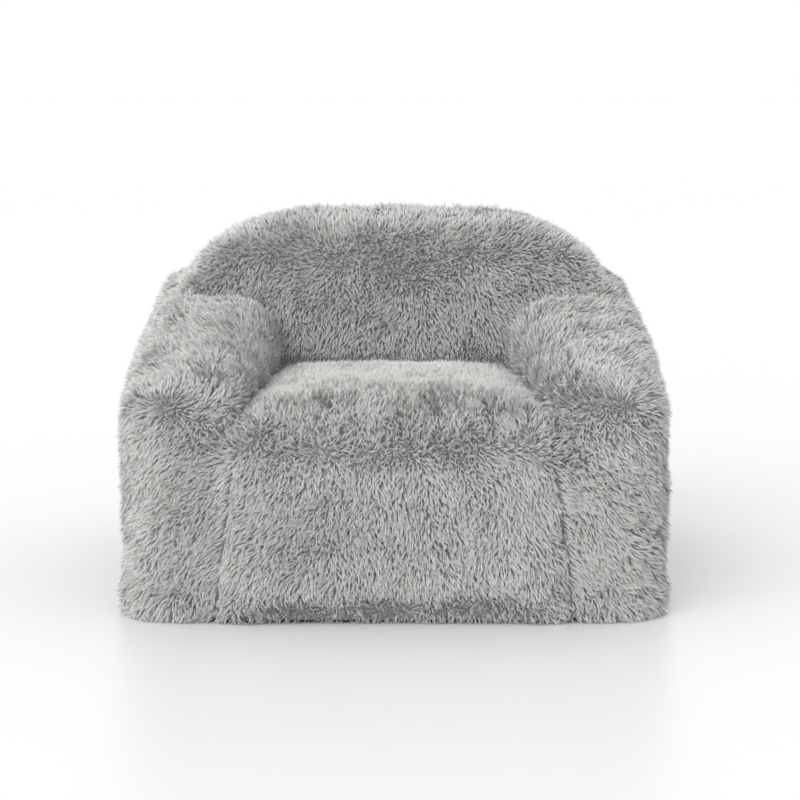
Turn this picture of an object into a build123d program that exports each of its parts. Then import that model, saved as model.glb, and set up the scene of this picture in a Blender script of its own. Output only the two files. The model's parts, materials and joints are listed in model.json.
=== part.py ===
from build123d import *
import os
from dataclasses import dataclass
from math import cos, radians, sin

# Faux fur bean bag armchair, in millimetres. +X is to the right as seen from the front,
# -Y is the front, +Z is up, and the origin is on the floor under the middle.

# Overall size over the tips of the fur, before the stuffing swells the sides by about 2 mm
overall_width = 900.0
overall_depth = 850.0
overall_height = 628.0

# Seat
seat_height = 362.0
seat_shoulder = 110.0
seat_front_reach = 140.0
seat_side_reach = 190.0
seat_rear_reach = 60.0
seat_corner = 90.0

# Arms
arm_front_height = 392.0
arm_back_height = 486.0
arm_front_width = 210.0
arm_back_width = 247.0
arm_setback = 25.0
arm_rear_narrowing = 10.0
arm_shoulder = 64.0
arm_front_reach = 85.0
arm_outer_reach = 50.0
arm_inner_reach = 95.0
arm_rear_reach = 45.0
arm_corner = 88.0
arm_inner_corner = 70.0
arm_rear_corner = 60.0

# Back
back_foot_depth = 355.0
back_lean = 60.0
back_shoulder = 205.0
back_side_lean = 16.0
back_side_reach = 270.0
back_face_reach = 110.0
back_corner = 100.0
back_inner_corner = 50.0
back_narrowing = 16.0

# Corners of the seat and arms that lie inside the chair, how far those two reach into their
# neighbours, and the least rounding of any corner
hidden_corner = 40.0
hidden_overlap = 25.0
least_corner = 10.0

# Foot of the whole chair: the floor meets its rounding where it has turned this many degrees
foot_round = 45.0
floor_turn = 45.0
floor_turn_margin = 15.0

# Cloth
pile_depth = 24.0
base_thickness = 3.0
liner_thickness = 1.5
cloth_gap = 0.5
rear_slack = 7.0

# Seams
side_seam_inset = 78.0
front_seam_x = 241.0
front_seam_flare = 0.14
top_band_height = 46.0
crease_lip = 6.0

# Zips
cover_zip_length = 600.0
cover_zip_height = 110.0
liner_zip_length = 500.0
liner_zip_height = 205.0
zip_opening = 16.0
tape_width = 13.0
tape_thickness = 0.8
tape_tail = 8.0
tape_seat = 1.2
tooth_pitch = 4.4
tooth_width = 2.4
tooth_thickness = 3.0
tooth_length = 1.7
cord_width = 1.2
tooth_slit = 1.4
stop_length = 5.0
stop_thickness = 4.4
slider_length = 15.0
slider_nose = 8.0
slider_width = 12.0
slider_plate = 1.4
slider_lip = 1.0
slider_clearance = 0.25
slider_post_length = 4.0
bridge_height = 3.0
bridge_width = 2.6
bridge_wall = 1.0

# Places that follow from the sizes above
half_width = overall_width / 2
front_y = -overall_depth / 2
rear_y = overall_depth / 2
arm_front_y = front_y + arm_setback
back_front_y = rear_y - back_foot_depth
back_slope = back_lean / (overall_height - back_shoulder)
crease_y = back_front_y + back_slope * seat_height
side_seam_x = half_width - side_seam_inset
front_seam_y = arm_front_y + pile_depth + foot_round / 2
arm_inner_front_x = half_width - arm_front_width
arm_inner_back_x = half_width - arm_back_width
arm_splay = (arm_inner_front_x - arm_inner_back_x) / (crease_y - arm_front_y)
arm_crown_y = arm_front_y + arm_front_reach
arm_slope = (arm_back_height - arm_front_height) / (crease_y - arm_crown_y)
tuck = 2 * (pile_depth + liner_thickness + 2 * cloth_gap) + hidden_overlap


@dataclass
class Block:
    """One stuffed part of the chair. Its four sides are in the order front, right, rear, left.

    Each block starts at its own level under the floor, sink, so no two share a plane there.
    """

    corners: list
    radii: list
    roof: float
    slope: float
    shoulder: float
    reach: list
    lean: list
    sink: float


def drawn_in(corners, distances):
    """The corners of a four-sided outline once each side has moved inwards by its distance."""
    sides = []
    for i, distance in enumerate(distances):
        start = Vector(*corners[i])
        along = (Vector(*corners[(i + 1) % 4]) - start).normalized()
        sides.append((start + Vector(-along.Y, along.X) * distance, along))
    moved = []
    for i in range(4):
        p, u = sides[i - 1]
        q, v = sides[i]
        step = ((q.X - p.X) * v.Y - (q.Y - p.Y) * v.X) / (u.X * v.Y - u.Y * v.X)
        moved.append((p.X + u.X * step, p.Y + u.Y * step))
    return moved


def outline(block, distances, height):
    """A closed outline of the block, drawn in by distances, at height(y)."""
    corners = drawn_in(block.corners, distances)
    radii = []
    for i, radius in enumerate(block.radii):
        drawn = min(distances[i - 1], distances[i])
        radii.append(max(least_corner, radius - max(0.0, drawn)))
    points = [(x, y, height(y)) for x, y in corners]
    return Wire(FilletPolyline(*points, radius=radii, close=True).edges())


def stuffed(block, inset, rear_gap=0.0):
    """The block as a loft of level outlines, with its skin drawn in by inset."""
    foot = foot_round - inset / 2
    foot_top = foot_round * sin(radians(floor_turn))
    skin = [inset, inset, inset + rear_gap, inset]
    rings = []

    below_floor = floor_turn + floor_turn_margin
    above_floor = floor_turn - floor_turn_margin
    for angle, sink in ((below_floor, block.sink), (above_floor, 0), (0, 0)):
        drawn = foot * (1 - cos(radians(angle)))
        level = foot_top - foot_round * sin(radians(angle)) - sink
        rings.append(outline(block, [s + drawn for s in skin], lambda y, z=level: z))

    def shoulder_foot(y):
        return block.roof + block.slope * y - block.shoulder

    for share in (0.35, 0.7):
        drawn = [s + lean * share for s, lean in zip(skin, block.lean)]
        rings.append(
            outline(block, drawn, lambda y, f=share: foot_top + f * (shoulder_foot(y) - foot_top))
        )

    for angle in (0, 25, 50, 70, 83, 90):
        turn = 1 - cos(radians(angle))
        rise = (block.shoulder - inset) * sin(radians(angle))
        drawn = [s + lean + (reach - inset) * turn for s, lean, reach in zip(skin, block.lean, block.reach)]
        rings.append(outline(block, drawn, lambda y, h=rise: shoulder_foot(y) + h))

    return Solid.make_loft(rings)


def seat_block():
    half = arm_inner_front_x + tuck
    rear = crease_y + tuck + foot_round
    return Block(
        corners=[(-half, front_y), (half, front_y), (half, rear), (-half, rear)],
        radii=[seat_corner, seat_corner, hidden_corner, hidden_corner],
        roof=seat_height,
        slope=0.0,
        shoulder=seat_shoulder,
        reach=[seat_front_reach, seat_side_reach, seat_rear_reach, seat_side_reach],
        lean=[0, 0, 0, 0],
        sink=2.0,
    )


def right_arm_block():
    rear = rear_y - back_corner
    inner_rear_x = arm_inner_front_x - arm_splay * (rear - arm_front_y)
    return Block(
        corners=[
            (arm_inner_front_x, arm_front_y),
            (half_width, arm_front_y),
            (half_width - arm_rear_narrowing, rear),
            (inner_rear_x, rear),
        ],
        radii=[arm_inner_corner, arm_corner, arm_rear_corner, hidden_corner],
        roof=arm_front_height - arm_slope * arm_crown_y,
        slope=arm_slope,
        shoulder=arm_shoulder,
        reach=[arm_front_reach, arm_outer_reach, arm_rear_reach, arm_inner_reach],
        lean=[0, 0, 0, 0],
        sink=5.0,
    )


def back_block():
    half = half_width - back_narrowing
    return Block(
        corners=[(-half, back_front_y), (half, back_front_y), (half, rear_y), (-half, rear_y)],
        radii=[back_inner_corner, back_inner_corner, back_corner, back_corner],
        roof=overall_height,
        slope=0.0,
        shoulder=back_shoulder,
        reach=[back_face_reach, back_side_reach, back_face_reach, back_side_reach],
        lean=[back_lean, back_side_lean, 0, back_side_lean],
        sink=8.0,
    )


def chair_form(inset, floor, rear_gap=0.0):
    """The whole chair's shape, with its skin drawn in by inset, standing on the level floor."""
    seat = stuffed(seat_block(), inset)
    right_arm = stuffed(right_arm_block(), inset)
    left_arm = right_arm.mirror(Plane.YZ)
    back = stuffed(back_block(), inset, rear_gap)
    form = back.fuse(seat, right_arm, left_arm)
    return above(form, floor)


def above(shape, level):
    return split(shape, bisect_by=Plane((0, 0, level)), keep=Keep.TOP)


def parted(shape, point, normal):
    """The two parts of a shape: on the side that normal points to, and the rest."""
    plane = Plane(origin=point, z_dir=normal)
    ahead = []
    behind = []
    for solid in split(shape, bisect_by=plane, keep=Keep.BOTH).solids():
        side = ahead if plane.to_local_coords(solid.center()).Z > 0 else behind
        side.append(solid)
    return Part(ahead), Part(behind)


def slot(length, height, from_y, to_y, middle_z):
    """A straight slot along X through the rear of the chair."""
    middle = Location((0, (from_y + to_y) / 2, middle_z))
    return middle * Box(length, to_y - from_y, height)


def rear_wall_y(form, height):
    """Where the rear of a form stands at a height, measured on its middle line."""
    hits = form.find_intersection_points(Axis((0, 0, height), (0, 1, 0)))
    return max(point.Y for point, normal in hits)


def cover_panels(outer, cover_inside, tape_y):
    """The sewn panels of the fur cover, cut from one skin along its seams."""
    walls = above(outer, base_thickness) - cover_inside
    panels = {}
    panels["right_side_panel"], rest = parted(walls, (side_seam_x, 0, 0), (1, 0, 0))
    panels["left_side_panel"], rest = parted(rest, (-side_seam_x, 0, 0), (-1, 0, 0))
    front, rest = parted(rest, (0, front_seam_y, 0), (0, -1, 0))
    back, cradle = parted(rest, (0, back_front_y - crease_lip, 0), (0, 1, -back_slope))

    seam_foot = front_seam_x + front_seam_flare * seat_height
    panels["right_arm_front_panel"], front = parted(front, (seam_foot, 0, 0), (1, 0, front_seam_flare))
    panels["left_arm_front_panel"], panels["front_panel"] = parted(
        front, (-seam_foot, 0, 0), (-1, 0, front_seam_flare)
    )

    crease_z = seat_height - pile_depth / 2
    crease = (arm_inner_front_x, arm_front_y, crease_z)
    panels["right_arm_panel"], cradle = parted(cradle, crease, (1, arm_splay, 1))
    crease = (-arm_inner_front_x, arm_front_y, crease_z)
    panels["left_arm_panel"], panels["seat_panel"] = parted(cradle, crease, (-1, arm_splay, 1))

    band_seam_z = overall_height - top_band_height
    panels["back_top_band"], back = parted(back, (0, 0, band_seam_z), (0, 0, 1))
    middle_y = (back_front_y + back_lean + rear_y) / 2
    outer_back, panels["inner_back_panel"] = parted(back, (0, middle_y, 0), (0, 1, 0))

    mouth_length = cover_zip_length + 2 * stop_length + 2 * cloth_gap
    mouth = slot(mouth_length, zip_opening, tape_y - pile_depth, rear_y + pile_depth, cover_zip_height)
    tape_span = 2 * (tooth_root() + tape_width)
    tape_length = cover_zip_length + 2 * tape_tail
    rebate_y = tape_y + tape_thickness / 2
    rebate = slot(tape_length, tape_span, rebate_y - pile_depth, rebate_y, cover_zip_height)
    outer_back = outer_back - mouth - rebate
    panels["outer_back_upper_panel"], panels["outer_back_lower_panel"] = parted(
        outer_back, (0, 0, cover_zip_height), (0, 0, 1)
    )
    panels["base_panel"] = split(outer, bisect_by=Plane((0, 0, base_thickness)), keep=Keep.BOTTOM)
    return panels


def liner_panels(liner_outside, liner_inside, tape_y):
    """The panels of the inner bag, with the opening for its zip in the rear one."""
    bag = liner_outside - liner_inside
    opening_span = 2 * (tooth_root() + tape_width)
    opening_length = liner_zip_length + 2 * tape_tail
    reach = 4 * liner_thickness
    bag = bag - slot(opening_length, opening_span, tape_y - reach, tape_y + reach, liner_zip_height)

    panels = {}
    middle_y = (back_front_y + back_lean + rear_y) / 2
    panels["liner_back_panel"], rest = parted(bag, (0, middle_y, 0), (0, 1, 0))
    panels["liner_right_panel"], rest = parted(rest, (arm_inner_back_x, 0, 0), (1, 0, 0))
    panels["liner_left_panel"], panels["liner_centre_panel"] = parted(
        rest, (-arm_inner_back_x, 0, 0), (-1, 0, 0)
    )
    return panels


def bead_filling(form, tape_y):
    """The loose beads as one mass, with the groove that the liner's zip presses into them."""
    slider_half = tooth_thickness / 2 + slider_clearance + slider_plate
    groove_floor = tape_y - slider_half - cloth_gap
    groove_height = 2 * tooth_root() + 2 * tape_width
    groove_length = liner_zip_length + 2 * tape_tail
    return form - slot(groove_length, groove_height, groove_floor, rear_y, liner_zip_height)


def tooth_root():
    """How far the back of each tooth row lies from the middle of the zip."""
    return tooth_slit / 2 + tooth_length + cord_width


def tooth_row(length, shift):
    """The upper row of teeth with its edge cord, seen along Y, over the middle of the zip."""
    root = tooth_root()
    shoulder = root - cord_width
    tip = tooth_slit / 2
    count = int((length - 2 * tooth_pitch) / tooth_pitch)
    first = -(count - 1) * tooth_pitch / 2 + shift
    points = [(-length / 2, root), (-length / 2, shoulder)]
    for i in range(count):
        left = first + i * tooth_pitch - tooth_width / 2
        right = left + tooth_width
        points += [(left, shoulder), (left, tip), (right, tip), (right, shoulder)]
    points += [(length / 2, shoulder), (length / 2, root)]
    face = make_face(Plane.XZ * Polyline(*points, close=True))
    return extrude(face, amount=tooth_thickness / 2, both=True)


def zip_tape(length):
    """The upper tape, from the edge cord outwards."""
    middle = Location((0, 0, tooth_root() + tape_width / 2))
    return middle * Box(length + 2 * tape_tail, tape_thickness, tape_width)


def end_stop(length, x_sign, low, high):
    """A crimped stop at one end of the rows, between two heights across the zip."""
    middle = Location((x_sign * (length + stop_length) / 2, 0, (low + high) / 2))
    return middle * Box(stop_length, stop_thickness, high - low)


def zip_slider():
    """A locking slider without a pull: two plates, side lips, the dividing post and the bridge."""
    half_length = slider_length / 2
    cavity = tooth_thickness / 2 + slider_clearance
    plate_outline = [
        (-half_length, -slider_width / 2),
        (half_length - slider_nose, -slider_width / 2),
        (half_length, -slider_nose / 2),
        (half_length, slider_nose / 2),
        (half_length - slider_nose, slider_width / 2),
        (-half_length, slider_width / 2),
    ]
    plate_face = make_face(Plane.XZ * Polyline(*plate_outline, close=True))
    plate = extrude(plate_face, amount=slider_plate / 2, both=True)
    plate_y = cavity + slider_plate / 2
    body = Location((0, plate_y, 0)) * plate + Location((0, -plate_y, 0)) * plate

    lip_length = slider_length - slider_nose
    lip_height = cavity - tape_thickness / 2 - slider_clearance
    for y_sign in (1, -1):
        for z_sign in (1, -1):
            lip_middle = Location(
                (
                    -half_length + lip_length / 2,
                    y_sign * (cavity - lip_height / 2),
                    z_sign * (slider_width - slider_lip) / 2,
                )
            )
            body += lip_middle * Box(lip_length, lip_height, slider_lip)

    post = Box(slider_post_length, 2 * cavity, tooth_slit - 2 * slider_clearance)
    body += Location((half_length - slider_post_length / 2, 0, 0)) * post

    foot_y = cavity + slider_plate
    bridge_half = half_length - slider_nose / 2
    arch = [
        (-bridge_half, foot_y),
        (-bridge_half, foot_y + bridge_height / 2),
        (-bridge_half + bridge_height / 2, foot_y + bridge_height),
        (bridge_half - bridge_height / 2, foot_y + bridge_height),
        (bridge_half, foot_y + bridge_height / 2),
        (bridge_half, foot_y),
        (bridge_half - bridge_wall, foot_y),
        (bridge_half - bridge_wall, foot_y + bridge_height - bridge_wall),
        (-bridge_half + bridge_wall, foot_y + bridge_height - bridge_wall),
        (-bridge_half + bridge_wall, foot_y),
    ]
    bridge_face = make_face(Polyline(*arch, close=True))
    body += extrude(bridge_face, amount=bridge_width / 2, both=True)
    return body


def slider_rest_x(length):
    """Where the slider is parked, against the stops at the closed end."""
    return length / 2 - slider_length / 2 - slider_clearance


def zip_pieces(prefix, length, y, z):
    """Every piece of a zip that runs along X, with its closed end at +X."""
    place = Location((0, y, z))
    root = tooth_root()
    upper_tape = zip_tape(length)
    upper_row = tooth_row(length, tooth_pitch / 4)
    lower_row = tooth_row(length, -tooth_pitch / 4)
    upper_stop = end_stop(length, 1, tooth_slit / 2, root)
    pieces = {
        "upper_tape": upper_tape,
        "lower_tape": upper_tape.mirror(Plane.XY),
        "upper_teeth": upper_row,
        "lower_teeth": lower_row.mirror(Plane.XY),
        "upper_end_stop": upper_stop,
        "lower_end_stop": upper_stop.mirror(Plane.XY),
        "open_end_stop": end_stop(length, -1, -root, root),
        "slider": Location((slider_rest_x(length), 0, 0)) * zip_slider(),
    }
    return {f"{prefix}_{name}": place * piece for name, piece in pieces.items()}


def all_parts():
    cover_inset = pile_depth
    liner_inset = pile_depth + cloth_gap
    liner_inner_inset = liner_inset + liner_thickness
    filling_inset = liner_inner_inset + cloth_gap
    liner_floor = base_thickness + cloth_gap
    filling_floor = liner_floor + liner_thickness + cloth_gap

    outer = chair_form(0, 0)
    cover_inside = chair_form(cover_inset, -base_thickness)
    liner_outside = chair_form(liner_inset, liner_floor, rear_slack)
    liner_inside = chair_form(liner_inner_inset, liner_floor + liner_thickness, rear_slack)
    filling = chair_form(filling_inset, filling_floor, rear_slack)
    cover_tape_y = rear_wall_y(cover_inside, cover_zip_height) + tape_seat
    liner_tape_y = rear_wall_y(liner_outside, liner_zip_height) - liner_thickness / 2

    parts = cover_panels(outer, cover_inside, cover_tape_y)
    parts |= liner_panels(liner_outside, liner_inside, liner_tape_y)
    parts["bead_filling"] = bead_filling(filling, liner_tape_y)
    parts |= zip_pieces("cover_zip", cover_zip_length, cover_tape_y, cover_zip_height)
    parts |= zip_pieces("liner_zip", liner_zip_length, liner_tape_y, liner_zip_height)
    return parts


os.makedirs("parts", exist_ok=True)
for node, shape in all_parts().items():
    export_step(shape, f"parts/{node}.step")
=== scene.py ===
import json
import math
import random

import bmesh
import bpy
import numpy as np
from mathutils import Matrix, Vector, noise

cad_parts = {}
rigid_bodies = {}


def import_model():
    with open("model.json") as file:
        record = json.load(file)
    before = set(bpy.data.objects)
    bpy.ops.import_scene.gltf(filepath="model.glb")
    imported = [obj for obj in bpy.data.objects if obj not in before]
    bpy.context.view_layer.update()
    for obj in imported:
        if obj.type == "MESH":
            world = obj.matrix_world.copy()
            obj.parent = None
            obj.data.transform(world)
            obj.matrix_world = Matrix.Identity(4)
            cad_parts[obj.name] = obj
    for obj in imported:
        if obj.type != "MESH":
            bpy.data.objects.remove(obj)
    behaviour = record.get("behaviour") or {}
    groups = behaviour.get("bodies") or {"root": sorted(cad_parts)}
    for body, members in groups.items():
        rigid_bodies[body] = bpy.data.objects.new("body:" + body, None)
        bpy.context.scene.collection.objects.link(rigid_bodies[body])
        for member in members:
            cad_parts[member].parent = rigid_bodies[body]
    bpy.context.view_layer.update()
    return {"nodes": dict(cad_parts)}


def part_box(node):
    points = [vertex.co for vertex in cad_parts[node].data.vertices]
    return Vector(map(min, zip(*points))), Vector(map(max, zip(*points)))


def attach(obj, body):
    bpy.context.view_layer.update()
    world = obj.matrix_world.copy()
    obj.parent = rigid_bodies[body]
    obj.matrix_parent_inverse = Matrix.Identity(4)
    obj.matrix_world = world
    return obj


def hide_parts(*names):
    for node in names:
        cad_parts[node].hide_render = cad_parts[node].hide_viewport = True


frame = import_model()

# Sizes in metres, in the chair's own frame: -Y is the front, +Z is up.
LOW, HIGH = 0, 1
X, Y, Z = 0, 1, 2


def edge(node, end, axis):
    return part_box(node)[end][axis]


# The seams, which run where the frame's panels end
SIDE_SEAM_X = edge("right_side_panel", LOW, X)
FRONT_SEAM_Y = edge("front_panel", HIGH, Y)
FRONT_SEAM_X = 0.241
FRONT_SEAM_FLARE = 0.14
SEAT_HEIGHT = edge("seat_panel", HIGH, Z)
BACK_FOOT_Y = 0.064
BACK_SLOPE = 0.1418
BACK_MIDDLE_Y = edge("inner_back_panel", HIGH, Y)
TOP_BAND_Z = edge("back_top_band", LOW, Z)
ARM_CREASE = (0.240, -0.400, SEAT_HEIGHT - 0.012)
ARM_SPLAY = 0.071
CREASED = {"seat_panel", "left_arm_panel", "right_arm_panel", "inner_back_panel"}
FRONTS = {"front_panel", "left_arm_front_panel", "right_arm_front_panel"}
LINER_SEAM_X = edge("liner_centre_panel", HIGH, X)

# The mouth of the cover's zip
ZIP_HALF_LENGTH = 0.306
ZIP_Z = edge("outer_back_upper_panel", LOW, Z)
ZIP_HALF_MOUTH = 0.008

# Skins round the bead filling
WELD = 0.0002
BACKING_VOXEL = 0.012
BACKING_RISE = 0.015
REAR_SLACK = 0.007
LINER_RISE = -0.004
BEADS_RISE = -0.009
BASE_Z = 0.0012
BASE_TOP_Z = 0.012
BASE_FACING = -0.7

# How the backing is drawn in at its seams and pressed out by the beads
SEAM_SINK = 0.002
FRONT_SEAM_SINK = 0.004
CREASE_SINK = 0.018
SINK_FADES = (0.5, 0.4)
FOOT_REACH = 0.065
FOOT_TURN = 0.010
SIDE_FOOT = 0.015
TUCK_HALF_WIDTH = 0.25
TUCK_FADE = 0.06
ARM_SHOULDER = 0.009
ARM_SHOULDER_X = 0.36
ARM_SHOULDER_Z = 0.41
ARM_SHOULDER_REACH = 0.05
BACK_SHOULDER = (0.385, 0.15, 0.49)
BACK_SHOULDER_REACH = 0.06
HELD_Z = 0.006
PUFF_FRAMES = 20
PUFF_LIMIT = 0.007

# Locks of fur
LOCK_LENGTH = 0.021
LOCK_SPREAD = 0.0012
STRAND_WIDTH = 0.00115
STRANDS_IN_LOCK = 4
LOCK_SHAPES = 15
LOCK_SIZES = (0.75, 1.15)
LOCK_SPACING = 0.00275
MOST_LOCKS_TO_SQUARE_METRE = 700000.0
LOCK_SEED = 41
CLUMPS = 0.5
SIDE_CLUMPS = 0.7
CLUMP_PULL = 4.0
CLUMPS_PER_METRE = 42.0
FLOOR_GAP = 0.0006
FUR_UV = "OFBake"

# The way the fur is combed
SEAM_FADE = 0.01
SEAM_OPENING = 0.7
SEAM_REACH = 0.012
CREASE_FADE = 0.04
PARTING = 0.028
SEAT_PARTING_Z = 0.275
ARM_PARTING_Z = 0.315
PARTING_WAVER = 0.03
WAVERS_PER_METRE = 9.0
FRONT_FADE = 0.1
SEAT_CALM_Y = -0.20
ARM_CALM_Y = -0.26
CALM_FADE = 0.13
EDGE_FACING = 0.85
EDGE_TURN = 0.25
EDGE_Z = 0.45
EDGE_FADE = 0.08
REAR_TURN = 0.35
FAN = (0.04, -0.3, 0.45)
WHORL = (0.372, -0.362, 0.365)
WHORL_REACH = 0.062
TUCKED_WAY = (0.0, 0.0, 0.3)
TUCKED_FADE = 0.16
DRIFT = 0.75
DRIFTS_PER_METRE = 16.0
DRIFT_SEED = 3

# How upright the fur stands, and how long it is as a share of a full lock
LIFT = 1.2
CALM_DROP = 0.2
EDGE_DROP = 0.6
LEANED_ON_LIFT = 0.5
SEAT_LIFT = 0.5
ZIP_PILE = 0.1
ZIP_REACH = 0.035
CREASE_PILE = 0.5
CREASE_REACH = 0.014
FOOT_PILE = 0.6

# The zips' tapes
TAPE_STEPS = 160
TAPE_ROWS = 4
TAPE_RIPPLE = 0.0002
TAPE_RIPPLES = 190.0
TAPE_CLEARANCE = 0.0004


def new_object(name, mesh):
    obj = bpy.data.objects.new(name, mesh)
    bpy.context.scene.collection.objects.link(obj)
    return obj


def remove_object(obj):
    mesh = obj.data
    bpy.data.objects.remove(obj)
    bpy.data.meshes.remove(mesh)


def with_modifiers_applied(obj):
    """The object's mesh as its modifiers leave it, as a plain mesh."""
    evaluated = obj.evaluated_get(bpy.context.evaluated_depsgraph_get())
    return bpy.data.meshes.new_from_object(evaluated)


# The backing that the fur is knitted into


def panel_of(p):
    """The cover panel that a point of the backing belongs to."""
    side = "right" if p.x > 0 else "left"
    if abs(p.x) > SIDE_SEAM_X:
        return f"{side}_side_panel"
    if p.y < FRONT_SEAM_Y:
        return f"{side}_arm_front_panel" if past_front_seam(p) > 0 else "front_panel"
    if past_back_seam(p) > 0:
        if p.z > TOP_BAND_Z:
            return "back_top_band"
        if p.y < BACK_MIDDLE_Y:
            return "inner_back_panel"
        return "outer_back_upper_panel" if p.z > ZIP_Z else "outer_back_lower_panel"
    return f"{side}_arm_panel" if over_crease(p) > 0 else "seat_panel"


def past_front_seam(p):
    """How far a point lies on the arm's side of the seam down the front of the chair."""
    return abs(p.x) - FRONT_SEAM_X - FRONT_SEAM_FLARE * (SEAT_HEIGHT - p.z)


def past_back_seam(p):
    """How far a point lies behind the seam at the foot of the inner back."""
    return p.y - BACK_FOOT_Y - BACK_SLOPE * p.z


def over_crease(p):
    """How far a point lies on the arm's side of the crease between arm and seat."""
    x, y, z = ARM_CREASE
    return (abs(p.x) - x) + ARM_SPLAY * (p.y - y) + (p.z - z)


def is_base(face):
    return face.normal.z < BASE_FACING and face.calc_center_median().z < BASE_TOP_Z


def chair_form(rise, rear_slack=0.0):
    """The whole chair as one skin that stands this far outside the form of the bead filling."""
    mesh = frame["nodes"]["bead_filling"].data.copy()
    bm = bmesh.new()
    bm.from_mesh(mesh)
    bmesh.ops.remove_doubles(bm, verts=bm.verts, dist=WELD)
    rear_y = edge("bead_filling", HIGH, Y)
    for vert in bm.verts:
        share = (vert.co.y - BACK_MIDDLE_Y) / (rear_y - BACK_MIDDLE_Y)
        vert.co.y += rear_slack * min(max(share, 0.0), 1.0)
    bm.to_mesh(mesh)
    bm.free()
    plain = new_object("plain_form", mesh)
    for kind, settings in (
        ("REMESH", {"mode": "VOXEL", "voxel_size": BACKING_VOXEL}),
        ("DISPLACE", {"strength": rise, "mid_level": 0.0}),
        ("REMESH", {"mode": "VOXEL", "voxel_size": BACKING_VOXEL}),
        ("SMOOTH", {"factor": 0.5, "iterations": 3}),
    ):
        modifier = plain.modifiers.new(kind, kind)
        for name, value in settings.items():
            setattr(modifier, name, value)
    skin = with_modifiers_applied(plain)
    remove_object(plain)
    return new_object("form", skin)


def sink_between(panels):
    """How far the seam between some panels is drawn in."""
    if panels <= CREASED:
        return CREASE_SINK
    if panels <= FRONTS:
        return FRONT_SEAM_SINK
    return SEAM_SINK


def seam_depths(bm):
    """How far each corner of the backing is drawn in: most on a seam, and less on the rows beside it."""
    bm.faces.ensure_lookup_table()
    panel = {f: "base" if is_base(f) else panel_of(f.calc_center_median()) for f in bm.faces}
    depth = {}
    for vert in bm.verts:
        joined = {panel[f] for f in vert.link_faces}
        if len(joined) > 1:
            depth[vert] = sink_between(joined)
    seams = set(depth)
    for fade in SINK_FADES:
        beside = {}
        for vert in bm.verts:
            deepest = max(depth.get(e.other_vert(vert), 0.0) for e in vert.link_edges)
            if vert not in depth and deepest > 0:
                beside[vert] = fade * deepest
        depth.update(beside)
    return depth, seams


def bell(distance, reach):
    """1 in the middle, and less and less further out."""
    return math.exp(-((distance / reach) ** 2))


def fullness(p):
    """How far the beads press the backing out. Below 0 it is tucked in, as in front and behind the arms."""
    at_side = ease(abs(p.x) - TUCK_HALF_WIDTH, TUCK_FADE)
    foot = near_foot(p) * (SIDE_FOOT * at_side - FOOT_TURN * near_foot(p) * (1 - at_side))
    on_arm = ease(abs(p.x) - ARM_SHOULDER_X, ARM_SHOULDER_REACH)
    behind = Vector((abs(p.x), p.y, p.z)) - Vector(BACK_SHOULDER)
    shoulder = ARM_SHOULDER * bell(p.z - ARM_SHOULDER_Z, ARM_SHOULDER_REACH) * on_arm
    return foot + shoulder - ARM_SHOULDER * bell(behind.length, BACK_SHOULDER_REACH)


def stuffed_backing():
    """The backing drawn in at its seams and blown out between them by its filling."""
    backing = chair_form(BACKING_RISE, REAR_SLACK)
    bm = bmesh.new()
    bm.from_mesh(backing.data)
    bm.normal_update()
    depth, seams = seam_depths(bm)
    for vert in bm.verts:
        level = Vector((vert.normal.x, vert.normal.y, 0.0))
        vert.co += level * fullness(vert.co) - vert.normal * depth.get(vert, 0.0)
        vert.co.z = max(vert.co.z, BASE_Z)
    held = [v.index for v in bm.verts if v in seams or v.co.z < HELD_Z]
    bm.to_mesh(backing.data)
    bm.free()
    puff(backing, held)
    return backing


def puff(backing, held):
    """Blows the backing out between its seams with a short cloth simulation."""
    before = np.empty(len(backing.data.vertices) * 3)
    backing.data.vertices.foreach_get("co", before)
    group = backing.vertex_groups.new(name="seams")
    group.add(held, 1.0, "REPLACE")
    cloth = backing.modifiers.new("stuffing", "CLOTH")
    cloth.settings.use_pressure = True
    cloth.settings.uniform_pressure_force = 4.0
    cloth.settings.vertex_group_mass = "seams"
    cloth.settings.effector_weights.gravity = 0.0
    cloth.settings.quality = 4
    cloth.settings.bending_stiffness = 2.0
    cloth.point_cache.frame_start = 1
    cloth.point_cache.frame_end = PUFF_FRAMES
    scene = bpy.context.scene
    for number in range(1, PUFF_FRAMES + 1):
        scene.frame_set(number)
    blown = with_modifiers_applied(backing)
    after = np.empty(len(before))
    blown.vertices.foreach_get("co", after)
    bpy.data.meshes.remove(blown)
    backing.modifiers.remove(cloth)
    scene.frame_set(1)
    moved = (after - before).reshape(-1, 3)
    distance = np.linalg.norm(moved, axis=1, keepdims=True)
    moved *= np.minimum(1.0, PUFF_LIMIT / np.maximum(distance, 1e-9))
    final = before.reshape(-1, 3) + moved
    final[:, Z] = np.maximum(final[:, Z], BASE_Z)
    backing.data.vertices.foreach_set("co", final.ravel())
    backing.data.update()


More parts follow.
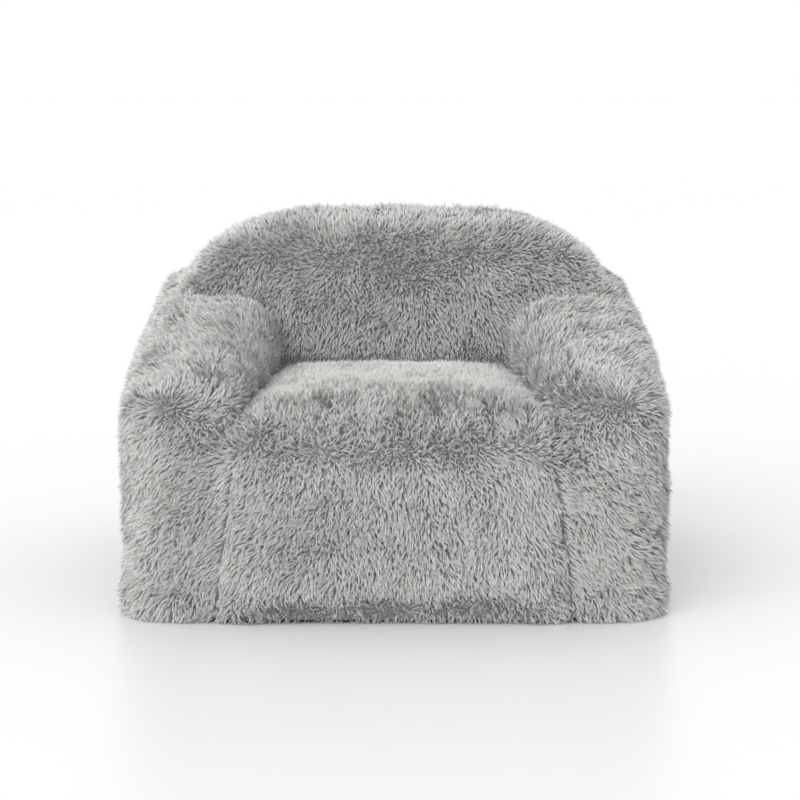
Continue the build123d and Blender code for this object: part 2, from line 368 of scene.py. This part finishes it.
def seam_planes():
    """A point and a normal for each plane that the seams lie in."""
    planes = [
        ((0, FRONT_SEAM_Y, 0), (0, 1, 0)),
        ((0, BACK_FOOT_Y, 0), (0, 1, -BACK_SLOPE)),
        ((0, 0, TOP_BAND_Z), (0, 0, 1)),
        ((0, BACK_MIDDLE_Y, 0), (0, 1, 0)),
        ((0, 0, ZIP_Z), (0, 0, 1)),
        ((0, 0, ZIP_Z - ZIP_HALF_MOUTH), (0, 0, 1)),
        ((0, 0, ZIP_Z + ZIP_HALF_MOUTH), (0, 0, 1)),
    ]
    seam_foot = FRONT_SEAM_X + FRONT_SEAM_FLARE * SEAT_HEIGHT
    for sign in (1, -1):
        planes.append(((sign * SIDE_SEAM_X, 0, 0), (1, 0, 0)))
        planes.append(((sign * ZIP_HALF_LENGTH, 0, 0), (1, 0, 0)))
        planes.append(((sign * seam_foot, 0, 0), (sign, 0, FRONT_SEAM_FLARE)))
        crease = (sign * ARM_CREASE[X], ARM_CREASE[Y], ARM_CREASE[Z])
        planes.append((crease, (sign, ARM_SPLAY, 1)))
    return planes


def picked_faces(whole, faces, name):
    """A mesh of only these faces of a whole one, smooth all over."""
    bm = bmesh.new()
    bm.from_mesh(whole)
    bm.faces.ensure_lookup_table()
    bmesh.ops.delete(bm, geom=[f for f in bm.faces if f.index not in faces], context="FACES")
    for face in bm.faces:
        face.smooth = True
    mesh = bpy.data.meshes.new(name)
    bm.to_mesh(mesh)
    bm.free()
    return mesh


def cut_panels(backing):
    """The backing cut along its seams: a mesh for each panel, and one for the base."""
    bm = bmesh.new()
    bm.from_mesh(backing.data)
    for point, normal in seam_planes():
        everything = bm.verts[:] + bm.edges[:] + bm.faces[:]
        bmesh.ops.bisect_plane(bm, geom=everything, dist=1e-5, plane_co=point, plane_no=normal)
    bm.normal_update()
    open_zip_mouth(bm)
    whole = bpy.data.meshes.new("whole_backing")
    bm.faces.index_update()
    names = {}
    for face in bm.faces:
        name = "base_panel" if is_base(face) else panel_of(face.calc_center_median())
        names.setdefault(name, set()).add(face.index)
    bm.to_mesh(whole)
    bm.free()
    meshes = {name: picked_faces(whole, faces, f"{name}_backing") for name, faces in names.items()}
    bpy.data.meshes.remove(whole)
    remove_object(backing)
    return meshes


def open_zip_mouth(bm):
    """Opens the rear of the backing over the zip and turns its edges in as far as the tapes."""
    tape_y = edge("cover_zip_upper_tape", HIGH, Y)

    def in_mouth(p):
        beside = abs(p.x) < ZIP_HALF_LENGTH and abs(p.z - ZIP_Z) < ZIP_HALF_MOUTH
        return beside and p.y > BACK_MIDDLE_Y

    gone = [f for f in bm.faces if in_mouth(f.calc_center_median())]
    bmesh.ops.delete(bm, geom=gone, context="FACES")
    rim = [e for e in bm.edges if e.is_boundary]
    inner = {}
    for start, end in [e.verts for e in rim]:
        for vert in (start, end):
            if vert not in inner:
                inner[vert] = bm.verts.new((vert.co.x, tape_y, vert.co.z))
        bm.faces.new((start, end, inner[end], inner[start]))
    bmesh.ops.recalc_face_normals(bm, faces=bm.faces)


# The fur


def ease(value, width):
    """0 below -width and 1 above +width, with a smooth step between."""
    share = min(max(0.5 + 0.5 * value / width, 0.0), 1.0)
    return share * share * (3 - 2 * share)


def seat_to_arm(p, on_seat, on_arm):
    """A value that goes from one on the seat to one on the arms."""
    return on_seat + (on_arm - on_seat) * ease(over_crease(p), CREASE_FADE)


def calm_top(p):
    """How calmly the fur lies on the seat and arms, which it does less and less towards the front."""
    return ease(p.y - seat_to_arm(p, SEAT_CALM_Y, ARM_CALM_Y), CALM_FADE)


def past_front(p):
    """How far a point lies below the wavering parting across the front."""
    waver = PARTING_WAVER * noise.noise(p * WAVERS_PER_METRE)
    middle = seat_to_arm(p, SEAT_PARTING_Z, ARM_PARTING_Z) + waver
    return ease(middle - p.z, PARTING) * ease(ARM_CALM_Y - p.y, FRONT_FADE)


def past_edge(p, normal):
    """How far a point lies past the parting in front of the back's rounded edge."""
    return ease(EDGE_FACING + normal.y, EDGE_TURN) * ease(p.z - EDGE_Z, EDGE_FADE)


def comb_at(name, p, normal):
    """The way a panel's fur is combed at a point: shorter, so more upright, where it parts."""
    side = math.copysign(1.0, p.x)
    in_front = past_front(p)
    on_side = ease(abs(p.x) - SIDE_SEAM_X, PARTING)
    on_back = ease(past_back_seam(p), SEAM_FADE)
    on_edge = past_edge(p, normal)
    on_rear = ease(p.y - BACK_MIDDLE_Y, PARTING)
    on_arm = ease(over_crease(p), SEAM_FADE)

    seat = Vector((0.6 * p.x, 1.0, 0.1))
    arm = Vector((side, 0.35, 0.5))
    front = Vector((0.9 * (p.x - FAN[X]), FAN[Y], p.z - FAN[Z]))
    inner_back = Vector((1.5 * p.x, -0.3, -0.6))
    outer_back = Vector((0.8 * p.x, 0.3, -1.0))
    back_edge = Vector((1.2 * p.x, 0.35, p.z - 0.35))
    flank = Vector((0.4 * side, 0.25, -0.8))

    ways = [
        (front, in_front),
        (flank, on_side),
        (inner_back, on_back * (1 - on_rear)),
        (back_edge, on_edge),
        (outer_back, on_back * ease(normal.y - REAR_TURN, REAR_TURN)),
    ]
    way = flattened(seat, normal).lerp(flattened(arm, normal), on_arm) * calm_top(p)
    for other, share in ways:
        way = way.lerp(flattened(other, normal), share)
    opening = in_front * bell(past_front_seam(p), SEAM_REACH)
    way.x += SEAM_OPENING * opening * (-side if name == "front_panel" else side)
    away = p - Vector((side * WHORL[X], WHORL[Y], WHORL[Z]))
    whirl = flattened(away, normal) * min(1.0, 2 * away.length / WHORL_REACH)
    way = way.lerp(whirl, bell(away.length, WHORL_REACH))
    tucked = 4 * near_foot(p) * (1 - near_foot(p)) * in_front
    way = way.lerp(Vector(TUCKED_WAY), tucked * ease(TUCK_HALF_WIDTH - abs(p.x), TUCKED_FADE))
    way += DRIFT * noise.noise_vector(p * DRIFTS_PER_METRE)
    return way * pile_at(name, p) if name.startswith("outer_back") else way


def flattened(way, normal):
    """A direction laid into the surface, one unit long."""
    return (way - normal * way.dot(normal)).normalized()


def lift_at(name, p, normal):
    """How upright the fur stands: least round the back's edge, and most where the sitter leans back."""
    calm = calm_top(p) * (1 - ease(abs(p.x) - SIDE_SEAM_X, PARTING))
    on_back = ease(past_back_seam(p), SEAM_FADE)
    facing = on_back * ease(-normal.y - 0.7, 0.3)
    lift = LIFT - CALM_DROP * calm * (1 - on_back) + LEANED_ON_LIFT * facing
    lift -= EDGE_DROP * past_edge(p, normal)
    return lift + SEAT_LIFT if name == "seat_panel" else lift


def near_foot(p):
    """1 on the floor, and less up to where the foot of the chair turns in."""
    return max(0.0, 1 - p.z / FOOT_REACH)


def pile_at(name, p):
    """How long the fur stands at a point, as a share of a full lock."""
    if name in CREASED:
        nearest = min(abs(over_crease(p)), abs(past_back_seam(p)))
        if name == "inner_back_panel":
            nearest = abs(p.z - SEAT_HEIGHT)
        return 1 - (1 - CREASE_PILE) * bell(nearest, CREASE_REACH)
    if not name.startswith("outer_back"):
        in_middle = 1 - ease(abs(p.x) - TUCK_HALF_WIDTH, TUCK_FADE)
        return 1 - (1 - FOOT_PILE) * near_foot(p) * in_middle
    beside = max(0.0, abs(p.x) - ZIP_HALF_LENGTH)
    away = math.hypot(beside, max(0.0, abs(p.z - ZIP_Z) - ZIP_HALF_MOUTH))
    return min(1.0, ZIP_PILE + away / ZIP_REACH)


def comb_panel(name, mesh):
    """Stores on the panel's mesh what the fur reads: its comb, lift and length."""
    ways = [comb_at(name, vert.co, vert.normal) for vert in mesh.vertices]
    lifts = [lift_at(name, vert.co, vert.normal) for vert in mesh.vertices]
    lengths = [pile_at(name, vert.co) for vert in mesh.vertices]
    mesh.attributes.new("comb", "FLOAT_VECTOR", "POINT")
    mesh.attributes.new("lift", "FLOAT", "POINT")
    mesh.attributes.new("pile", "FLOAT", "POINT")
    mesh.attributes["comb"].data.foreach_set("vector", [value for way in ways for value in way])
    mesh.attributes["lift"].data.foreach_set("value", lifts)
    mesh.attributes["pile"].data.foreach_set("value", lengths)


def lock_mesh(number, dice):
    """One lock of fur: a few tapered strands that lean towards +X and close up at the tip."""
    bm = bmesh.new()
    uv = bm.loops.layers.uv.new(FUR_UV)
    bend = dice.uniform(0.1, 0.35)
    gather = dice.uniform(0.1, 0.4)
    for strand in range(STRANDS_IN_LOCK):
        turn = dice.uniform(0, math.tau)
        spread = LOCK_SPREAD * math.sqrt(dice.random())
        root = Vector((spread * math.cos(turn), spread * math.sin(turn), -0.001))
        length = LOCK_LENGTH * dice.uniform(0.75, 1.0)
        lean = bend + dice.uniform(-0.12, 0.12)
        sway = dice.uniform(-0.12, 0.12)
        facing = dice.uniform(-0.7, 0.7)
        across = Vector((math.sin(facing), math.cos(facing), 0.0)) * STRAND_WIDTH / 2

        def along(t):
            middle = root * (1 - (1 - gather) * t)
            return middle + Vector((lean * t * t, sway * t * t, t * (1 - 0.25 * lean * t))) * length

        foot = bm.verts.new(along(0.0))
        left = bm.verts.new(along(0.5) - across)
        right = bm.verts.new(along(0.5) + across)
        tip = bm.verts.new(along(1.0))
        inside = 1.0 / (LOCK_SHAPES * STRANDS_IN_LOCK)
        middle = (number * STRANDS_IN_LOCK + strand + 0.5) * inside
        places = {foot: (middle, 0.02), tip: (middle, 0.98)}
        places[left] = (middle - 0.35 * inside, 0.5)
        places[right] = (middle + 0.35 * inside, 0.5)
        for corners in ((foot, right, left), (left, right, tip)):
            face = bm.faces.new(corners)
            face.smooth = True
            for loop in face.loops:
                loop[uv].uv = places[loop.vert]
    mesh = bpy.data.meshes.new(f"lock_{number}")
    bm.to_mesh(mesh)
    bm.free()
    return mesh


def lock_collection():
    """The lock shapes that the fur is made of, in a collection of their own."""
    dice = random.Random(LOCK_SEED)
    locks = bpy.data.collections.new("locks")
    for number in range(LOCK_SHAPES):
        locks.objects.link(bpy.data.objects.new(f"lock_{number}", lock_mesh(number, dice)))
    return locks


class Tree:
    """A geometry node tree under construction."""

    def __init__(self, name):
        self.tree = bpy.data.node_groups.new(name, "GeometryNodeTree")
        self.tree.interface.new_socket("Geometry", in_out="INPUT", socket_type="NodeSocketGeometry")
        self.tree.interface.new_socket("Geometry", in_out="OUTPUT", socket_type="NodeSocketGeometry")
        self.group_in = self.tree.nodes.new("NodeGroupInput")
        self.group_out = self.tree.nodes.new("NodeGroupOutput")

    def size(self, name, kind, value=None):
        """A named input of the tree, and the socket that it gives."""
        socket = self.tree.interface.new_socket(name, in_out="INPUT", socket_type=f"NodeSocket{kind}")
        if value is not None:
            socket.default_value = value
        return self.group_in.outputs[name]

    def node(self, kind, settings=None, **inputs):
        """A node with its settings, and values or other sockets on its inputs by name."""
        node = self.tree.nodes.new(kind)
        for name, value in (settings or {}).items():
            setattr(node, name, value)
        for name, value in inputs.items():
            self.feed(node.inputs[name.replace("_", " ")], value)
        return node

    def feed(self, socket, value):
        if isinstance(value, bpy.types.NodeSocket):
            self.tree.links.new(value, socket)
        else:
            socket.default_value = value

    def vector(self, operation, a, b=None, scale=None):
        node = self.tree.nodes.new("ShaderNodeVectorMath")
        node.operation = operation
        self.feed(node.inputs[0], a)
        if b is not None:
            self.feed(node.inputs[1], b)
        if scale is not None:
            self.feed(node.inputs["Scale"], scale)
        return node.outputs[0]

    def stored(self, name, kind):
        node = self.tree.nodes.new("GeometryNodeInputNamedAttribute")
        node.data_type = kind
        node.inputs["Name"].default_value = name
        return node.outputs["Attribute"]


def fur_tree():
    """Locks of fur all over a panel, leaning the way that it is combed."""
    t = Tree("fur")
    locks = t.size("Locks", "Collection")
    spacing = t.size("Spacing", "Float", LOCK_SPACING)
    clumps = t.size("Clumps", "Float", CLUMPS)
    stray = t.size("Stray", "Float", 0.5)
    seed = t.size("Seed", "Int", 1)
    fur = t.size("Fur", "Material")

    scatter = t.node("GeometryNodeDistributePointsOnFaces", {"distribute_method": "POISSON"})
    t.feed(scatter.inputs["Mesh"], t.group_in.outputs["Geometry"])
    t.feed(scatter.inputs["Distance Min"], spacing)
    t.feed(scatter.inputs["Density Max"], MOST_LOCKS_TO_SQUARE_METRE)
    t.feed(scatter.inputs["Seed"], seed)

    comb = t.stored("comb", "FLOAT_VECTOR")
    lift = t.stored("lift", "FLOAT")
    pile = t.stored("pile", "FLOAT")
    where = t.node("GeometryNodeInputPosition").outputs["Position"]
    tufts = t.node("ShaderNodeTexNoise", Vector=where, Scale=CLUMPS_PER_METRE, Detail=2.0)
    wander = t.vector("SUBTRACT", tufts.outputs["Color"], (0.5, 0.5, 0.5))
    wander = t.vector("SCALE", wander, scale=clumps)
    wander = t.vector("SCALE", wander, scale=CLUMP_PULL)
    dice = t.node("FunctionNodeRandomValue", {"data_type": "FLOAT_VECTOR"})
    t.feed(dice.inputs["Min"], (-1.0, -1.0, -1.0))
    t.feed(dice.inputs["Max"], (1.0, 1.0, 1.0))
    t.feed(dice.inputs["Seed"], seed)
    loose = t.vector("SCALE", dice.outputs["Value"], scale=stray)
    growth = t.vector("ADD", comb, t.vector("SCALE", scatter.outputs["Normal"], scale=lift))
    growth = t.vector("ADD", growth, t.vector("ADD", wander, loose))
    lie = t.vector("ADD", comb, t.vector("ADD", wander, loose))
    turn = t.node("FunctionNodeAxesToRotation", {"primary_axis": "Z", "secondary_axis": "X"})
    t.feed(turn.inputs["Primary Axis"], growth)
    t.feed(turn.inputs["Secondary Axis"], lie)

    shapes = t.node("GeometryNodeCollectionInfo")
    t.feed(shapes.inputs["Collection"], locks)
    t.feed(shapes.inputs["Separate Children"], True)
    t.feed(shapes.inputs["Reset Children"], True)
    # A random value has sockets of the same name for each kind, so these go by their places.
    pick = t.node("FunctionNodeRandomValue", {"data_type": "INT"})
    t.feed(pick.inputs[4], 0)
    t.feed(pick.inputs[5], LOCK_SHAPES - 1)
    t.feed(pick.inputs["Seed"], 7)
    size = t.node("FunctionNodeRandomValue", {"data_type": "FLOAT"})
    t.feed(size.inputs[2], LOCK_SIZES[LOW])
    t.feed(size.inputs[3], LOCK_SIZES[HIGH])
    t.feed(size.inputs["Seed"], 3)
    scale = t.node("ShaderNodeMath", {"operation": "MULTIPLY"})
    t.feed(scale.inputs[0], size.outputs[1])
    t.feed(scale.inputs[1], pile)

    grown = t.node("GeometryNodeInstanceOnPoints")
    t.feed(grown.inputs["Points"], scatter.outputs["Points"])
    t.feed(grown.inputs["Instance"], shapes.outputs[0])
    t.feed(grown.inputs["Pick Instance"], True)
    t.feed(grown.inputs["Instance Index"], pick.outputs[2])
    t.feed(grown.inputs["Rotation"], turn.outputs[0])
    t.feed(grown.inputs["Scale"], scale.outputs[0])
    real = t.node("GeometryNodeRealizeInstances")
    t.feed(real.inputs["Geometry"], grown.outputs["Instances"])

    here = t.node("GeometryNodeInputPosition").outputs["Position"]
    above_floor = t.vector("MAXIMUM", here, (-10.0, -10.0, FLOOR_GAP))
    rest = t.node("GeometryNodeSetPosition")
    t.feed(rest.inputs["Geometry"], real.outputs["Geometry"])
    t.feed(rest.inputs["Position"], above_floor)
    dressed = t.node("GeometryNodeSetMaterial")
    t.feed(dressed.inputs["Geometry"], rest.outputs["Geometry"])
    t.feed(dressed.inputs["Material"], fur)
    t.tree.links.new(dressed.outputs["Geometry"], t.group_out.inputs["Geometry"])
    return t.tree


def set_inputs(modifier, **values):
    """Sets a modifier's inputs by the names that its tree gives them."""
    names = {item.name: item.identifier for item in modifier.node_group.interface.items_tree}
    for name, value in values.items():
        modifier[names[name]] = value


def fur_lots(name, mesh):
    """The faces of a panel in lots, so that the fur of a wide panel comes in two pieces."""
    if name.endswith("side_panel"):
        ends, axis, middle = ("front", "rear"), Y, 0.0
    elif name == "outer_back_upper_panel":
        ends, axis, middle = ("left", "right"), X, 0.0
    else:
        return {f"{name}_fur": {face.index for face in mesh.polygons}}
    lots = {f"{name}_{end}_fur": set() for end in ends}
    for face in mesh.polygons:
        end = ends[face.center[axis] > middle]
        lots[f"{name}_{end}_fur"].add(face.index)
    return lots


def grow_fur(name, backing, tree, **inputs):
    """The fur of one lot of a panel as a plain mesh, grown from its backing."""
    bed = new_object(f"{name}_bed", backing)
    grower = bed.modifiers.new("fur", "NODES")
    grower.node_group = tree
    set_inputs(grower, **inputs)
    mesh = with_modifiers_applied(bed)
    remove_object(bed)
    mesh.name = name
    return new_object(name, mesh)


# Materials


class Finish:
    """A material under construction, around one principled shader."""

    def __init__(self, name):
        self.material = bpy.data.materials.new(name)
        self.material.use_nodes = True
        self.nodes = self.material.node_tree.nodes
        self.links = self.material.node_tree.links
        self.shader = self.nodes["Principled BSDF"]

    def set(self, **values):
        for name, value in values.items():
            self.shader.inputs[name.replace("_", " ")].default_value = value

    def node(self, kind, **settings):
        node = self.nodes.new(kind)
        for name, value in settings.items():
            setattr(node, name, value)
        return node

    def link(self, out, into):
        self.links.new(out, into)

    def math(self, operation, a, b=None):
        node = self.node("ShaderNodeMath", operation=operation)
        for socket, value in zip(node.inputs, (a, b)):
            if isinstance(value, bpy.types.NodeSocket):
                self.link(value, socket)
            elif value is not None:
                socket.default_value = value
        return node.outputs[0]

    def ramp(self, value, stops):
        node = self.node("ShaderNodeValToRGB")
        elements = node.color_ramp.elements
        while len(elements) < len(stops):
            elements.new(1.0)
        for element, (place, colour) in zip(elements, stops):
            element.position = place
            element.color = (*colour, 1.0)
        self.link(value, node.inputs["Fac"])
        return node.outputs["Color"]

    def mixed(self, a, b, share, blend="MIX"):
        node = self.node("ShaderNodeMix", data_type="RGBA", blend_type=blend)
        for socket, value in zip((node.inputs[0], node.inputs[6], node.inputs[7]), (share, a, b)):
            if isinstance(value, bpy.types.NodeSocket):
                self.link(value, socket)
            else:
                socket.default_value = value
        return node.outputs[2]

    def bump(self, height, strength, distance):
        node = self.node("ShaderNodeBump")
        node.inputs["Strength"].default_value = strength
        node.inputs["Distance"].default_value = distance
        self.link(height, node.inputs["Height"])
        self.link(node.outputs["Normal"], self.shader.inputs["Normal"])


def grey(value, warmth=0.006):
    return (value, value, value * (1.0 - 2 * warmth))


def fur_finish():
    """Grey fur, darker at its roots as painted shade deep in the pile and lighter at its tips as painted
    light on them, each strand a tone of its own.
    """
    f = Finish("grey_fur")
    uv = f.node("ShaderNodeUVMap", uv_map=FUR_UV)
    split = f.node("ShaderNodeSeparateXYZ")
    f.link(uv.outputs["UV"], split.inputs[0])
    # Painted shade and light: the roots are dark where the pile shades them, and the tips light where light
    # falls on them.
    painted_shade_root_to_tip = [(0.0, grey(0.22)), (0.35, grey(0.43)), (0.75, grey(0.68)), (1.0, grey(0.785))]
    length = f.ramp(split.outputs[1], painted_shade_root_to_tip)
    strand = f.math("FLOOR", f.math("MULTIPLY", split.outputs[0], float(LOCK_SHAPES * STRANDS_IN_LOCK)))
    chance = f.node("ShaderNodeTexWhiteNoise", noise_dimensions="1D")
    f.link(strand, chance.inputs["W"])
    shade = f.ramp(chance.outputs["Value"], [(0.0, grey(0.72)), (0.6, grey(0.95)), (1.0, grey(1.0))])
    f.link(f.mixed(length, shade, 1.0, "MULTIPLY"), f.shader.inputs["Base Color"])
    f.set(Roughness=0.62, Specular_IOR_Level=0.25, Sheen_Weight=0.15, Sheen_Roughness=0.5)
    return f.material


def backing_finish():
    """The knitted backing under the fur, with short dense downy fibres, its dark grey a painted shade for
    the depth of the pile between the locks.
    """
    f = Finish("fur_backing")
    where = f.node("ShaderNodeTexCoord").outputs["Object"]
    fuzz = f.node("ShaderNodeTexNoise")
    fuzz.inputs["Scale"].default_value = 380.0
    fuzz.inputs["Detail"].default_value = 4.0
    f.link(where, fuzz.inputs["Vector"])
    # Painted shade: the backing is kept dark for the shade deep in the pile, mottled by its downy fibres.
    down_in_painted_shade = f.ramp(fuzz.outputs["Fac"], [(0.35, grey(0.10)), (0.65, grey(0.36))])
    f.link(down_in_painted_shade, f.shader.inputs["Base Color"])
    f.bump(fuzz.outputs["Fac"], 0.6, 0.002)
    f.set(Roughness=0.95, Specular_IOR_Level=0.1)
    return f.material


def woven_finish(name, colour, threads, strength):
    """A plain weave, threads to the metre, along X and Y or X and Z."""
    f = Finish(name)
    where = f.node("ShaderNodeTexCoord").outputs["Object"]
    split = f.node("ShaderNodeSeparateXYZ")
    f.link(where, split.inputs[0])
    across = f.math("SINE", f.math("MULTIPLY", split.outputs[0], threads * math.tau))
    up = f.math("ADD", split.outputs[1], split.outputs[2])
    along = f.math("SINE", f.math("MULTIPLY", up, threads * math.tau))
    weave = f.math("MULTIPLY", across, along)
    weave = f.math("ADD", f.math("MULTIPLY", weave, 0.5), 0.5)
    slub = f.node("ShaderNodeTexNoise")
    slub.inputs["Scale"].default_value = 60.0
    slub.inputs["Detail"].default_value = 5.0
    f.link(where, slub.inputs["Vector"])
    dark = tuple(c * 0.72 for c in colour)
    threads_colour = f.ramp(weave, [(0.1, dark), (0.9, colour)])
    worn = f.ramp(slub.outputs["Fac"], [(0.3, (0.85,) * 3), (0.7, (1.0,) * 3)])
    f.link(f.mixed(threads_colour, worn, 1.0, "MULTIPLY"), f.shader.inputs["Base Color"])
    f.bump(weave, strength, 0.0004)
    f.set(Roughness=0.9, Specular_IOR_Level=0.2)
    return f.material


def bead_finish():
    """White beads of foamed plastic packed side by side, darker towards each bead's edge as painted shade
    in the gaps between them.
    """
    f = Finish("foam_beads")
    where = f.node("ShaderNodeTexCoord").outputs["Object"]
    cells = f.node("ShaderNodeTexVoronoi", feature="F1")
    cells.inputs["Scale"].default_value = 230.0
    f.link(where, cells.inputs["Vector"])
    # Painted shade: each bead's white darkens towards its edge, where the beads meet.
    foam_with_painted_shade = f.ramp(cells.outputs["Distance"], [(0.1, (0.88, 0.88, 0.86)), (0.6, (0.55, 0.55, 0.54))])
    f.link(foam_with_painted_shade, f.shader.inputs["Base Color"])
    round_top = f.math("SUBTRACT", 1.0, cells.outputs["Distance"])
    f.bump(round_top, 0.8, 0.003)
    f.set(Roughness=0.75, Specular_IOR_Level=0.3)
    return f.material


def moulded_finish(name, colour, roughness, metallic):
    """A moulded or cast surface with a fine grain."""
    f = Finish(name)
    where = f.node("ShaderNodeTexCoord").outputs["Object"]
    grain = f.node("ShaderNodeTexNoise")
    grain.inputs["Scale"].default_value = 900.0
    grain.inputs["Detail"].default_value = 3.0
    f.link(where, grain.inputs["Vector"])
    dark = tuple(c * 0.8 for c in colour)
    speckle = f.ramp(grain.outputs["Fac"], [(0.3, dark), (0.7, colour)])
    f.link(speckle, f.shader.inputs["Base Color"])
    f.bump(grain.outputs["Fac"], 0.2, 0.0002)
    f.set(Roughness=roughness, Metallic=metallic)
    return f.material


# Making the pieces


def dress_cover():
    """The cover: each panel's backing and its fur, and the cloth under the chair."""
    noise.seed_set(DRIFT_SEED)
    fur = fur_finish()
    knit = backing_finish()
    tree = fur_tree()
    locks = lock_collection()
    meshes = cut_panels(stuffed_backing())
    lay_base(meshes.pop("base_panel"))
    for seed, (name, mesh) in enumerate(sorted(meshes.items())):
        comb_panel(name, mesh)
        pelts = []
        for lot, faces in fur_lots(name, mesh).items():
            bed = picked_faces(mesh, faces, lot)
            clumps = SIDE_CLUMPS if name.endswith("side_panel") else CLUMPS
            pelts.append(grow_fur(lot, bed, tree, Locks=locks, Clumps=clumps, Fur=fur, Seed=seed))
        mesh.materials.append(knit)
        backing = new_object(f"{name}_backing", mesh)
        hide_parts(name)
        for piece in (backing, *pelts):
            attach(piece, "chair")
    for lock in list(locks.objects):
        remove_object(lock)
    bpy.data.collections.remove(locks)


def lay_base(mesh):
    """The plain cloth that the chair stands on."""
    mesh.materials.append(woven_finish("base_weave", grey(0.06), 700.0, 0.5))
    base = new_object("base_cloth", mesh)
    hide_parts("base_panel")
    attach(base, "chair")


def dress_zip(name):
    """One zip: woven tapes in place of the plain ones, and finishes for its teeth and metal."""
    weave = woven_finish(f"{name}_tape_weave", grey(0.11), 1400.0, 0.6)
    teeth = moulded_finish(f"{name}_teeth_plastic", grey(0.075), 0.45, 0.0)
    metal = moulded_finish(f"{name}_painted_metal", grey(0.09), 0.35, 0.6)
    for row in ("upper", "lower"):
        lay_tape(f"{name}_{row}_tape", weave)
        refinish(f"{name}_{row}_teeth", teeth)
        refinish(f"{name}_{row}_end_stop", metal)
    refinish(f"{name}_open_end_stop", metal)
    refinish(f"{name}_slider", metal)


def lay_tape(node, weave):
    """A woven tape, a little wavy along its free edge."""
    low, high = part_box(node)
    length = high[X] - low[X]
    width = high[Z] - low[Z]
    middle_y = (low[Y] + high[Y]) / 2
    bm = bmesh.new()
    grid = []
    for i in range(TAPE_STEPS + 1):
        x = low[X] + length * i / TAPE_STEPS
        line = []
        for j in range(TAPE_ROWS + 1):
            share = j / TAPE_ROWS
            free = share if "upper" in node else 1 - share
            ripple = TAPE_RIPPLE * free * math.sin(x * TAPE_RIPPLES)
            line.append(bm.verts.new((x, middle_y + ripple, low[Z] + width * share)))
        grid.append(line)
    for here, there in zip(grid, grid[1:]):
        for j in range(TAPE_ROWS):
            bm.faces.new((here[j], here[j + 1], there[j + 1], there[j])).smooth = True
    mesh = bpy.data.meshes.new(f"{node}_cloth")
    bm.to_mesh(mesh)
    bm.free()
    mesh.materials.append(weave)
    tape = new_object(f"{node}_cloth", mesh)
    thicken = tape.modifiers.new("thickness", "SOLIDIFY")
    thicken.thickness = high[Y] - low[Y] - TAPE_CLEARANCE
    thicken.offset = 0.0
    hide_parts(node)
    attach(tape, "chair")


def refinish(node, material):
    for slot in frame["nodes"][node].material_slots:
        slot.material = material


def dress_inside():
    """The inner bag in its four panels, and the beads in it."""
    cloth = woven_finish("liner_cloth", (0.72, 0.72, 0.70), 900.0, 0.4)
    bag = chair_form(LINER_RISE)
    bm = bmesh.new()
    bm.from_mesh(bag.data)
    bm.faces.ensure_lookup_table()
    parts = {}
    for face in bm.faces:
        parts.setdefault(liner_panel_of(face.calc_center_median()), set()).add(face.index)
    bm.free()
    for name, faces in parts.items():
        panel = new_object(f"{name}_cloth", picked_faces(bag.data, faces, f"{name}_cloth"))
        panel.data.materials.append(cloth)
        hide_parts(name)
        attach(panel, "chair")
    remove_object(bag)

    beads = chair_form(BEADS_RISE)
    beads.name = "beads"
    beads.data.materials.append(bead_finish())
    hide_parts("bead_filling")
    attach(beads, "chair")


def liner_panel_of(p):
    if p.y > BACK_MIDDLE_Y:
        return "liner_back_panel"
    if abs(p.x) > LINER_SEAM_X:
        return "liner_right_panel" if p.x > 0 else "liner_left_panel"
    return "liner_centre_panel"


def make_floor():
    bpy.ops.mesh.primitive_plane_add(size=60.0, location=(0, 0, 0))
    floor = bpy.context.object
    floor.name = "floor"
    f = Finish("pale_floor")
    f.set(Base_Color=(0.78, 0.78, 0.78, 1.0), Roughness=0.36, Specular_IOR_Level=1.0)
    floor.data.materials.append(f.material)


def soft_lamp(name, towards, energy):
    """A wide lamp far away, shining in one direction."""
    lamp = bpy.data.lights.new(name, "SUN")
    lamp.angle = math.radians(60.0)
    lamp.energy = energy
    holder = bpy.data.objects.new(name, lamp)
    holder.rotation_euler = Vector(towards).to_track_quat("-Z", "Y").to_euler()
    bpy.context.scene.collection.objects.link(holder)


def make_studio():
    """A white studio: light from all round, with soft lamps overhead and in front."""
    make_floor()
    world = bpy.data.worlds.new("studio")
    world.use_nodes = True
    background = world.node_tree.nodes["Background"]
    background.inputs["Color"].default_value = (1.0, 1.0, 1.0, 1.0)
    background.inputs["Strength"].default_value = 1.0
    scene = bpy.context.scene
    scene.world = world
    scene.view_settings.view_transform = "Standard"
    soft_lamp("overhead_lamp", (0.25, 0.5, -1.0), 0.2)
    soft_lamp("front_lamp", (0.65, 1.0, -0.55), 1.82)


def make_camera():
    camera = bpy.data.cameras.new("camera")
    camera.sensor_width = 36.0
    camera.lens = 106.9
    lens = bpy.data.objects.new("camera", camera)
    aim = Vector((0.009, 0.0, 0.305))
    tilt = math.radians(8.8)
    away = 4.2
    lens.location = aim + Vector((0.0, -math.cos(tilt), math.sin(tilt))) * away
    lens.rotation_euler = (aim - lens.location).to_track_quat("-Z", "Y").to_euler()
    bpy.context.scene.collection.objects.link(lens)
    bpy.context.scene.camera = lens


dress_cover()
dress_inside()
dress_zip("cover_zip")
dress_zip("liner_zip")
make_studio()
make_camera()
